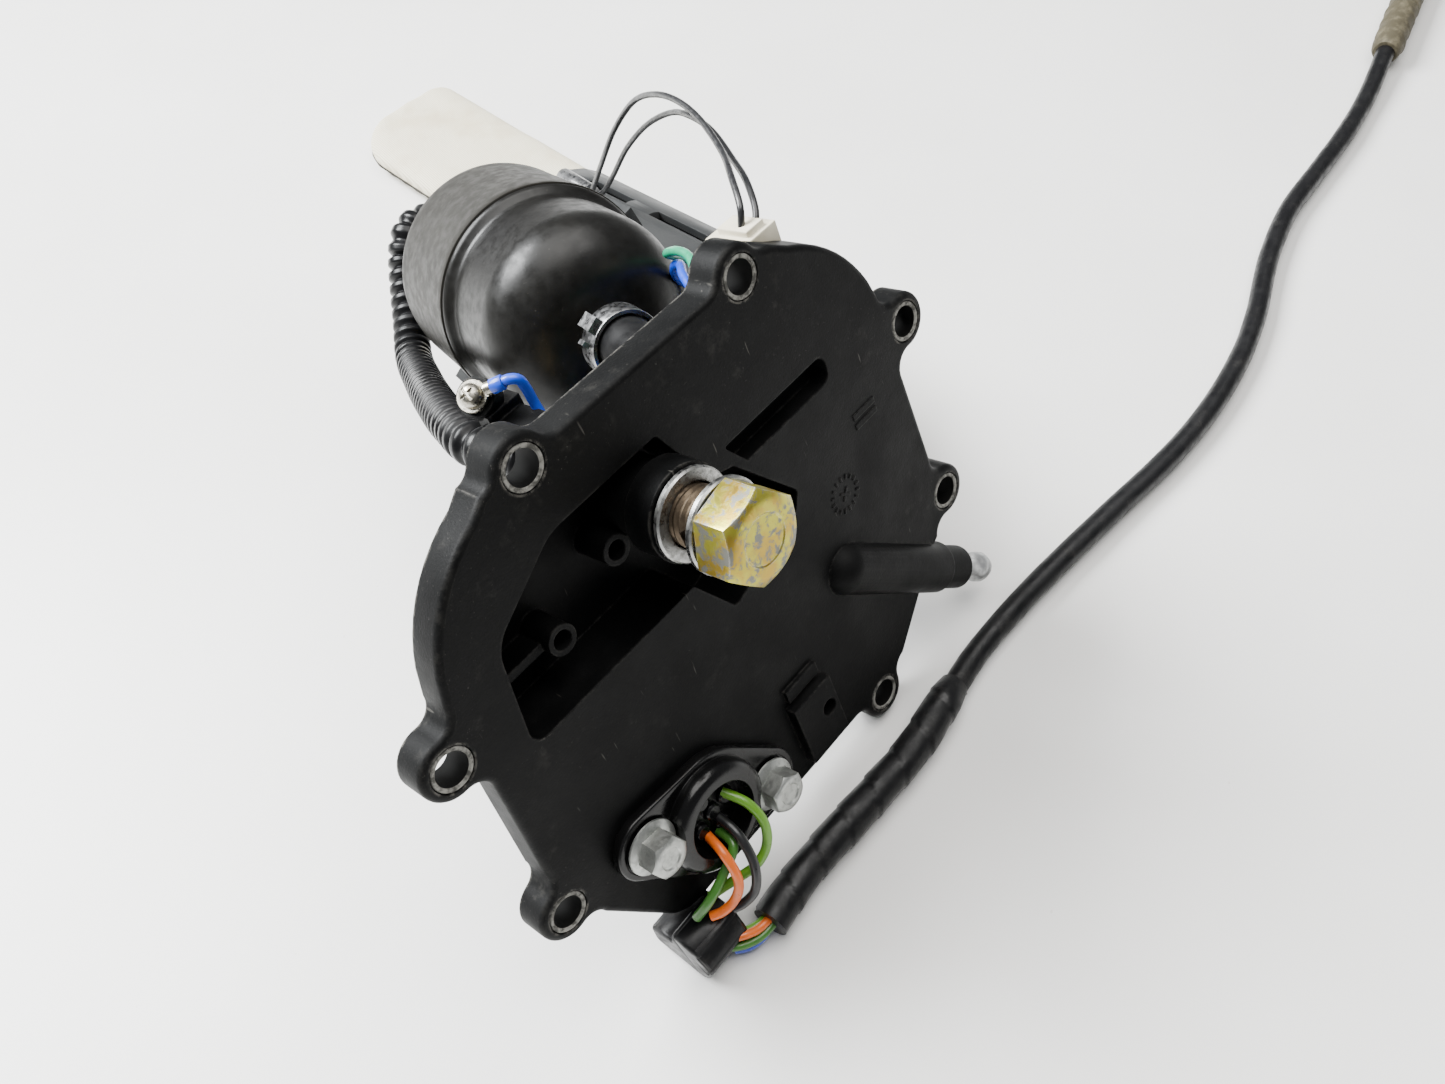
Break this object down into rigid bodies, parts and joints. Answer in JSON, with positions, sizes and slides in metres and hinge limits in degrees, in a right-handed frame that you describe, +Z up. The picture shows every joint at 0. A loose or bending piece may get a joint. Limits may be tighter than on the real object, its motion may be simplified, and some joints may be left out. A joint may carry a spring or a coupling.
{
  "type": "in-tank fuel pump module",
  "caption": "Tank flange with banjo outlet, wiring gland and return spigot, carrying an electric pump, a canister filter, a strainer and a harness.",
  "frame": {"origin": "on the bench, under the middle of the module's box, measured without the cable that lies away from it", "axes": "+X across the flange towards the return spigot, +Y back from the flange towards the strainer, +Z up from the bench"},
  "size_m": [0.5382, 0.2894, 0.1201],
  "materials": {
    "moulded_black": "fine spark-eroded grain, scuffed on the lugs",
    "gloss_black": "glossy",
    "moulded_grey": "dull, slightly worn",
    "cream_plastic": "satin",
    "black_rubber": "matt",
    "can_paint": "semi-gloss grey-brown paint",
    "zinc_steel": "dull zinc plate",
    "bright_steel": "bright",
    "bright_aluminium": "machined",
    "yellow_zinc": "worn yellow zinc plate",
    "brass": "dull",
    "copper": "varnished windings",
    "magnet_grey": "sintered",
    "filter_paper": "pleated paper",
    "strainer_mesh": "fine woven mesh",
    "olive_tape": "wound cloth tape",
    "orange_wire": "wire insulation",
    "green_wire": "wire insulation",
    "light_green_wire": "wire insulation",
    "black_wire": "wire insulation",
    "blue_wire": "wire insulation",
    "teal_wire": "wire insulation"
  },
  "bodies": {
    "module": {"flange_plate": "moulded_black", "lug_sleeve_1": "zinc_steel", "lug_sleeve_2": "zinc_steel", "lug_sleeve_3": "zinc_steel", "lug_sleeve_4": "zinc_steel", "lug_sleeve_5": "zinc_steel", "lug_sleeve_6": "zinc_steel", "lug_sleeve_7": "zinc_steel", "flange_seal": "black_rubber", "banjo_bolt": "yellow_zinc", "washer_rear": "bright_aluminium", "washer_front": "bright_aluminium", "outlet_union": "brass", "wiring_gland": "gloss_black", "gland_seal": "black_rubber", "gland_bolt_left": "zinc_steel", "gland_bolt_right": "zinc_steel", "return_spigot": "bright_aluminium", "filter_dome": "can_paint", "filter_can": "can_paint", "filter_element": "filter_paper", "filter_clamp": "bright_steel", "pump_sleeve": "black_rubber", "pump_casing": "bright_steel", "pump_outlet_cover": "moulded_black", "pump_chamber": "bright_aluminium", "pump_inlet_cover": "moulded_black", "magnet_upper": "magnet_grey", "magnet_lower": "magnet_grey", "valve_spring": "bright_steel", "pump_holder": "moulded_grey", "carrier_screw_1": "zinc_steel", "carrier_screw_2": "zinc_steel", "supply_hose": "black_rubber", "corrugated_line": "moulded_black", "pump_clamp": "bright_steel", "sensor_plug": "cream_plastic", "terminal_screw": "brass", "ring_terminal": "brass", "ground_lead": "blue_wire", "pump_lead_teal": "teal_wire", "pump_lead_blue": "blue_wire", "sensor_lead_1": "black_wire", "sensor_lead_2": "black_wire", "level_sensor": "bright_steel", "strainer_neck": "cream_plastic", "strainer_bag": "strainer_mesh", "gland_lead_orange": "orange_wire", "gland_lead_green": "green_wire", "gland_lead_light": "light_green_wire", "gland_lead_black": "black_wire", "lead_boot": "black_rubber", "harness_sleeve": "black_rubber", "harness_cable": "black_rubber", "splice_sleeve": "olive_tape", "harness_tail": "black_rubber", "harness_plug": "moulded_black"},
    "rotor": {"armature": "copper", "impeller": "moulded_black"},
    "valve": {"check_valve": "brass"}
  },
  "joints": [
    {"name": "rotor_spin", "type": "hinge", "parent": "module", "child": "rotor", "pos_m": [0.04994, -0.01377, 0.03025], "axis": [0.18, 0.9583, -0.2221], "continuous": true},
    {"name": "check_valve_lift", "type": "slide", "parent": "module", "child": "valve", "axis": [-0.18, -0.9583, 0.2221], "range_m": [0, 0.0015], "stiffness_N_per_m": 40, "springref_m": -0.001, "deforming": ["valve_spring"]}
  ]
}
